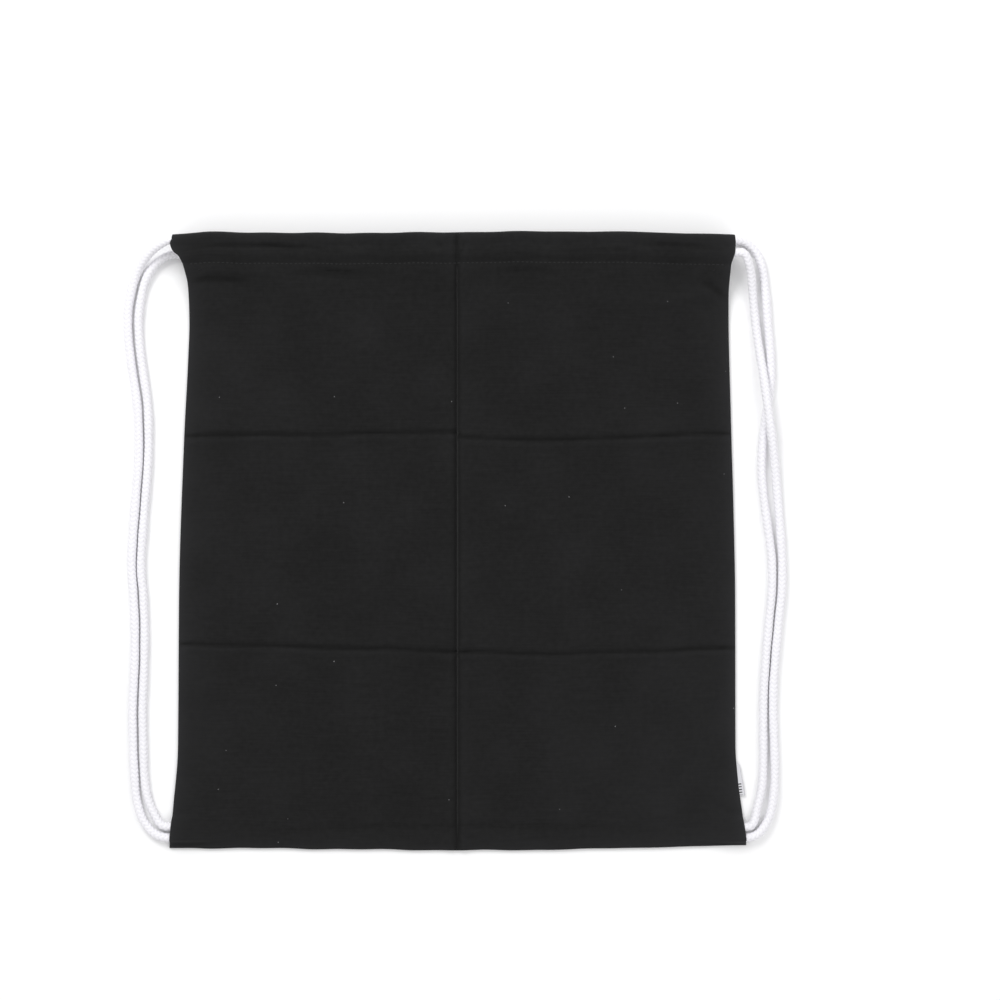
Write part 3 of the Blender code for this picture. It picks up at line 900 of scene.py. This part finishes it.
def frontHeight(x, y):
    x, y = np.broadcast_arrays(np.asarray(x, float), np.asarray(y, float))
    inset = np.minimum(x - through(y, outline["left"]), through(y, outline["right"]) - x)
    side = through(y, sideRise)
    middle = through(y, middleRise)
    swell = np.sin(np.clip(inset / clothRelief["swell"], 0, 1) * math.pi / 2) ** 0.85
    body = side + (middle - side) * swell
    inCasing = smooth(y, stitchLine - 0.0005, stitchLine + 0.0005)
    drop = (side - middle) * (1 - smooth(inset, 0, 0.02)) * (1 - smooth(y, stitchLine, 0.1925))
    height = np.where(y > stitchLine, through(y, casingRise) + drop, body)
    low = 1 - smooth(y, stitchLine - 0.004, stitchLine)
    calm = smooth(inset, 0.0, 0.014) * smooth(y, bagFoot, bagFoot + 0.012)
    rough = clothRelief["broad"] * softNoise(x, y, 0.075, 1)
    rough = rough + clothRelief["middling"] * softNoise(x * 0.7, y, 0.034, 2)
    rough = rough + clothRelief["fine"] * softNoise(x, y, 0.013, 8)
    for fold in folds:
        rough = rough + foldRidge(x, y, fold)
    height = height + (rough * calm + creaseDepth(x, y) * smooth(inset, -0.001, 0.006)) * low
    under = np.exp(-np.clip(stitchLine - y, 0, 1) / 0.011) * (1 - inCasing)
    pucker = softNoise(x, y * 0.12, 0.0085, 4)
    height = height + clothRelief["pucker"] * pucker * under * smooth(stitchLine - y, 0.0, 0.003)
    between = np.exp(-(((y - 0.2013) / 0.0021) ** 2))
    hollow = between + np.exp(-(((y - 0.1925) / 0.0014) ** 2))
    wave = clothRelief["casingWave"] * (0.7 + 0.7 * softNoise(x, y * 0.3, 0.0095, 5))
    height = height - inCasing * wave * hollow
    height = height - inCasing * clothRelief["casingPress"] * np.exp(-((x / 0.0016) ** 2))
    for fold in casingFolds:
        height = height + inCasing * foldRidge(x, y, fold)
    away = (y - stitchLine + stitches["below"]) / 0.0008
    height = height - clothRelief["stitchDip"] * np.exp(-(away**2))
    corner = cornerOpening(y + edgeShift(x, y), inset)
    corner = corner * (1 - smooth(inset, cornerRise["flatTo"], cornerRise["endsAt"]))
    return np.maximum(height, cloth["edge"] + cornerRise["high"] * corner)


def wearAndShadeAt(x, y, inset):  # above 0 the cloth is rubbed pale, partly painted highlight beside the creases; below 0 it is painted shade in the creases and valley folds
    depth = np.clip(inset, 0, 1)
    rim = rubbedAndShaded["rim"] * np.exp(-depth / 0.004) + rubbedAndShaded["nearRim"] * np.exp(-depth / 0.03)
    foot = rubbedAndShaded["foot"] * np.exp(-np.clip(y - bagFoot, 0, 1) / 0.006)
    # a pale line beside each crease, on the side the key lamp lights: partly crease wear, partly painted
    # highlight
    creaseWearAndHighlight = np.exp(-np.abs(x - 0.0055) / 0.0022)
    # painted shade: darker along the middle crease and the two cross creases
    dark = np.exp(-((x / 0.0016) ** 2))
    for word in ("upper", "lower"):
        distance = y - through(x, creases[word])
        creaseWearAndHighlight = creaseWearAndHighlight + np.exp(-np.abs(distance + 0.003) / 0.0020)
        dark = dark + np.exp(-((distance / 0.0012) ** 2))
    for fold in folds + casingFolds:
        wide, high = fold[4:]
        if high < 0 and wide < rubbedAndShaded["narrowFold"]:
            dark = dark - rubbedAndShaded["foldShade"] * foldRidge(x, y, fold)  # painted shade: a narrow valley fold is darker too
    # paler towards the casing's top, and towards the lower right
    top = rubbedAndShaded["top"] * smooth(y, stitchLine + 0.006, bagTop)
    low = rubbedAndShaded["low"] * (1 - smooth(y, -0.20, -0.02)) * smooth(x, -0.05, 0.15)
    mottle = rubbedAndShaded["mottle"] * softNoise(x, y, 0.06, 6)
    pale = rim + foot + rubbedAndShaded["crease"] * creaseWearAndHighlight + top + low + mottle
    return np.clip(pale - rubbedAndShaded["paintedCreaseShade"] * dark, -1, 1)


def rowsOf(spacing):  # rows from the foot up, over the fold and down to the hem: y, its kind, its turn
    rows = [(bagFoot, "foot", share) for share in (1.0, 0.66, 0.33)]
    count = round((stitchLine - bagFoot) / spacing)
    for step in range(count):
        rows.append((bagFoot + (stitchLine - bagFoot) * step / count, "out", 0.0))
    count = max(8, round((foldLine - stitchLine) / (spacing * 0.8)))
    for step in range(count + 1):
        rows.append((stitchLine + (foldLine - stitchLine) * step / count, "out", 0.0))
    for step in range(1, 9):
        rows.append((foldLine, "fold", math.pi * step / 8))
    count = max(8, round((foldLine - stitchLine) / (spacing * 1.1)))
    for step in range(1, count + 4):
        rows.append((foldLine - (foldLine - stitchLine) * step / count, "in", 0.0))
    return rows


lipTurns = [0.25, 0.5, 0.75, 1.0, 1.0, 1.0, 1.0]  # half turns of an open edge's roll
lipRuns = [0.0, 0.0, 0.0, 0.0, 0.0015, 0.0030, 0.0045]  # and how far the edge then goes in


def rowEnd(word, y, tight, outward):  # x where a row ends, further in once it has turned inside
    side = -1 if word == "left" else 1
    x = float(through(y, outline[word])) - (0 if outward > 0 else side * cloth["backInset"])
    return x + (side * innerReach - x) * smooth(tight, 0.35, 1.0)


def rowShape(kind, extra, x, y, heightOf, innerHeight, outward):  # level, height, way out, place up the cloth
    level = np.full(x.shape, y)
    z = heightOf(x, level)
    if kind == "fold":
        inner = innerHeight(x, level)
        z = (z + inner) / 2 + (z - inner) / 2 * math.cos(extra)
        way = (math.sin(extra), outward * math.cos(extra))
        return level + foldRadius * math.sin(extra), z, way, y + foldRadius * extra
    if kind == "in":
        return level, innerHeight(x, level), (0.0, -outward), 2 * foldLine + math.pi * foldRadius - y
    if kind == "foot":
        if outward > 0:
            z = z - (z - cloth["seam"]) * (1 - math.cos(extra * math.pi / 2))
        return level - cloth["roll"] * math.sin(extra * math.pi / 2), z, (0.0, outward), y - 0.0010 * extra
    return level, z, (0.0, outward), y


def edgePoints(side, spot, way, sewn, scale, outward):  # past a row's end: rolled in, or sewn down
    edgeX, edgeY, edgeZ = spot
    wayY, wayZ = way
    roll = cloth["lip"] * scale
    points = []
    for index, (turn, run) in enumerate(zip(lipTurns, lipRuns)):
        angle = turn * math.pi
        openX = side * roll * math.sin(angle) - side * run * scale
        openDepth = roll * (1 - math.cos(angle))
        part = (index + 1) / len(lipTurns)
        shutX = side * cloth["roll"] * math.sin(min(1.0, part * 2) * math.pi / 2)
        shutZ = edgeZ + (cloth["seam"] - edgeZ) * part if outward > 0 else edgeZ + 0.0001 * part
        x = edgeX + openX * (1 - sewn) + shutX * sewn
        y = edgeY - wayY * openDepth * (1 - sewn)
        z = (edgeZ - wayZ * openDepth) * (1 - sewn) + shutZ * sewn
        points.append((x, y, z, edgeX + side * 0.0006 * (index + 1)))
    return points


def panelGrid(name, spacing, left, right, heightOf, innerHeight, outward, material):
    # left and right: true where the rows end at the outline, false at the split in the middle
    columns = max(2, round(0.19 * (2 if left and right else 1) / spacing))
    shares = np.linspace(0, 1, columns + 1)
    xs, ys, zs, places, wearAndShadeRows = [], [], [], [], []
    for y, kind, extra in rowsOf(spacing):
        tight = {"fold": extra / math.pi, "in": 1.0}.get(kind, 0.0)  # how far the row has turned inside
        leftX = rowEnd("left", y, tight, outward) if left else 0.0
        rightX = rowEnd("right", y, tight, outward) if right else 0.0
        x = leftX + (rightX - leftX) * shares
        level, z, way, length = rowShape(kind, extra, x, y, heightOf, innerHeight, outward)
        row = np.array([x, level, z, x])
        for side, present in ((-1, left), (1, right)):
            if not present:
                continue
            end = 0 if side < 0 else -1
            actual = y + float(edgeShift(x[end], y))
            sewn = (1 - smooth(y, 0.166, 0.180)) * (1 - cornerOpening(actual)) if tight == 0 else 0.0
            spot = (x[end], level[end], z[end])
            more = np.array(edgePoints(side, spot, way, sewn, 1.0 - 0.8 * tight, outward)).T
            row = np.concatenate([more[:, ::-1], row] if side < 0 else [row, more], axis=1)
        rowX, rowY, rowZ, rowPlace = row
        inset = np.full(rowX.shape, 1.0)
        if left:
            inset = np.minimum(inset, rowX - leftX)
        if right:
            inset = np.minimum(inset, rightX - rowX)
        xs.append(rowX)
        ys.append(rowY + edgeShift(rowX, np.minimum(rowY, bagTop)))
        zs.append(rowZ)
        places.append(np.stack([rowPlace, np.full(rowX.shape, length), np.zeros(rowX.shape)], axis=1))
        # rubbed wear, painted highlight beside the creases and painted crease shade
        wearAndShadeRows.append(wearAndShadeAt(rowX, rowY, inset))
    xs, ys, zs, places, wearAndShadeRows = (np.array(rows) for rows in (xs, ys, zs, places, wearAndShadeRows))
    return gridPiece(name, xs, ys, zs, places, wearAndShadeRows, material, thick=cloth["thick"], flip=outward < 0)


def frontInner(x, y):
    lift = 0.0022 * (1 - smooth(y, stitchLine - 0.001, stitchLine + 0.0045))
    return 0.0126 + lift + 0.00012 * softNoise(x, y, 0.02, 9)


def backHeight(x, y):
    return 0.00010 + 0.00009 * (1 + softNoise(x, y, 0.06, 11))


def backInner(x, y):
    fall = 0.0052 * (1 - smooth(y, stitchLine - 0.001, stitchLine + 0.0042))
    return backCasingTop - 0.0001 - fall + 0.0001 * softNoise(x, y, 0.02, 12)


def addPanels():
    for word, left, right in (("Left", True, False), ("Right", False, True)):
        half = panelGrid(f"front{word}", cloth["mesh"], left, right, frontHeight, frontInner, 1, blackCotton)
        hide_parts("front_panel")
        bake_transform(half)
    back = panelGrid("back", cloth["backMesh"], True, True, backHeight, backInner, -1, blackCotton)
    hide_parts("back_panel")
    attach(back, "bag")


overlock = {
    "pitch": 0.0030,
    "radius": 0.00022,
    "wide": 0.0070,
    "thick": 0.0010,
    "loop": 0.0018,
    "low": 0.0010,  # height of its underside
}
tacks = {"columns": 9, "rows": 5, "pitch": 0.0007, "step": 0.0028, "length": 0.0036, "radius": 0.0004}
label = {
    "wide": 0.0047,
    "taper": 0.0031,  # its width at the top
    "tall": 0.0232,
    "thick": 0.00035,
    "root": 0.0055,  # how much of it is sewn in
    "corner": 0.0026,  # its rounded upper corner
    "cornerTall": 0.16,  # as a share of its height
    "low": 0.0016,
    "bow": 0.00045,
}


def stitchRow(name, spots, alongX, length, radius, material):  # one small rounded stitch at each spot
    choices = []
    for index, spot in enumerate(spots):
        bpy.ops.mesh.primitive_uv_sphere_add(segments=8, ring_count=6, radius=1.0, location=spot)
        stitch = bpy.context.object
        stitch.scale = (length / 2, radius, radius) if alongX else (radius, length / 2, radius)
        stitch.rotation_euler.z = 0.08 * math.sin(index * 2.3)
        choices.append(stitch)
    choose(*choices)
    bpy.ops.object.transform_apply(location=True, rotation=True, scale=True)
    bpy.ops.object.join()
    row = bpy.context.object
    row.name = name
    row.data.materials.clear()
    row.data.materials.append(material)
    bpy.ops.object.shade_smooth()
    return row


def casingSpots(xs, heightOf, proud):
    y = stitchLine - stitches["below"]
    return [(x, y + float(edgeShift(x, y)), float(heightOf(x, y)) + proud) for x in xs]


def addCasingStitching():
    count = round(stitches["reach"] / stitches["pitch"])
    pitch, length, radius = stitches["pitch"], stitches["length"], stitches["radius"]
    for word, side in (("Left", -1), ("Right", 1)):
        xs = [side * (index + 0.5) * pitch for index in range(count)]
        spots = casingSpots(xs, frontHeight, stitches["proud"])
        row = stitchRow(f"frontStitches{word}", spots, True, length, radius, blackThread)
        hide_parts("front_casing_stitching")
        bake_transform(row)
    xs = [(index + 0.5) * pitch for index in range(-count, count)]
    spots = casingSpots(xs, backInner, stitches["backProud"])
    row = stitchRow("backStitches", spots, True, length, radius, blackThread)
    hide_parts("back_casing_stitching")
    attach(row, "bag")


def seamPiece(name, spots, across, node):  # the cut edge of both cloths, bound with slanted loops of thread
    flap = []
    for lift in (0.0, overlock["thick"]):
        for reach in (0.0004, overlock["wide"]):
            flap.append([(x + across[0] * reach, y + across[1] * reach, z + lift) for x, y, z in spots])
    order = [flap[0], flap[1], flap[3], flap[2], flap[0]]
    xs, ys, zs = (np.array([[point[axis] for point in line] for line in order]) for axis in range(3))
    place = np.stack([xs, ys, zs], axis=2)
    strip = gridPiece(name + "Strip", xs, ys, zs, place, np.zeros(xs.shape), blackThread)
    reach = overlock["wide"] - 0.0016
    loops = []
    for x, y, z in spots:
        spot = (x + across[0] * reach, y + across[1] * reach, z + overlock["thick"] / 2)
        bpy.ops.mesh.primitive_torus_add(
            major_segments=10,
            minor_segments=4,
            major_radius=overlock["loop"],
            minor_radius=overlock["radius"],
            location=spot,
            rotation=(math.pi / 2, 0.0, 0.5 + (0.0 if across[1] == 0 else math.pi / 2)),
        )
        loop = bpy.context.object
        loop.scale = (1.0, 0.42, 1.0)
        loops.append(loop)
    choose(strip, *loops)
    bpy.ops.object.transform_apply(location=True, rotation=True, scale=True)
    bpy.ops.object.join()
    bpy.ops.object.mode_set(mode="EDIT")
    bpy.ops.mesh.select_all(action="SELECT")
    bpy.ops.mesh.remove_doubles(threshold=0.000001)
    bpy.ops.mesh.normals_make_consistent(inside=False)
    bpy.ops.object.mode_set(mode="OBJECT")
    strip.name = name
    bpy.ops.object.shade_smooth_by_angle(angle=0.7)
    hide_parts(node)
    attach(strip, "bag")


def addSeams():
    for word, side in (("left", -1), ("right", 1)):
        low = cornerInner + cordRadius + 0.004
        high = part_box(f"{word}_side_seam")[1].y
        count = round((high - low) / overlock["pitch"])
        spots = []
        for index in range(count + 1):
            y = low + (high - low) * index / count
            x = float(through(y, outline[word])) - side * 0.0006
            spots.append((x, y, overlock["low"]))
        seamPiece(f"{word}Seam", spots, (-side, 0.0), f"{word}_side_seam")
    low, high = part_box("bottom_seam")
    count = round((high.x - low.x) / overlock["pitch"])
    spots = []
    for index in range(count + 1):
        x = low.x + (high.x - low.x) * index / count
        y = float(through(x, outline["bottom"])) + 0.0004
        spots.append((x, y, overlock["low"]))
    seamPiece("bottomSeam", spots, (0.0, 1.0), "bottom_seam")


def addTacks():
    for word, side in (("left", -1), ("right", 1)):
        spots = []
        for column in range(tacks["columns"]):
            for row in range(tacks["rows"]):
                x = side * (footX - tuck["corner"] - 0.0010 - tacks["pitch"] * column)
                y = cornerOuter - 0.0016 + tacks["step"] * row
                spots.append((x, y, cornerZ + 0.0004 * math.sin(column + row * 1.5)))
        tack = stitchRow(f"{word}Tack", spots, False, tacks["length"], tacks["radius"], whiteThread)
        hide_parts(f"{word}_cord_ends")
        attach(tack, "bag")


def addLabel():
    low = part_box("side_label")[0]
    rows = 34
    columns = 14
    xs, ys, zs, places = [], [], [], []
    for row in range(rows + 1):
        share = row / rows
        y = low.y + label["tall"] * share
        edge = float(through(y, outline["right"]))
        wide = label["wide"] + (label["taper"] - label["wide"]) * share
        cut = max(0.0, (share - (1 - label["cornerTall"])) / label["cornerTall"])
        wide -= label["corner"] * cut**3
        line = np.linspace(-label["root"], wide, columns + 1)
        bow = label["bow"] * np.sin(np.clip(line, 0, 1) / 0.0052 * 2.2)
        xs.append(edge + line)
        ys.append(y + 0.0006 * line / label["wide"])
        zs.append(label["low"] + bow + 0.0002 * math.sin(share * 5))
        places.append(np.stack([line, np.full(line.shape, y - low.y), np.zeros(line.shape)], axis=1))
    xs, ys, zs, places = np.array(xs), np.array(ys), np.array(zs), np.array(places)
    tag = gridPiece("sideLabel", xs, ys, zs, places, np.zeros(xs.shape), labelWeave, thick=label["thick"])
    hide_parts("side_label")
    wide = label["root"] + label["wide"]
    narrow = label["root"] + label["taper"]
    (wide + narrow) / 2 * label["tall"]
    edge = float(through(low.y, outline["right"]))
    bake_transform(tag)


addStrands()
addHiddenCords()
print("cords made")
addPanels()
print("cloth made")
addCasingStitching()
addSeams()
addTacks()
addLabel()
print("stitching and label made")
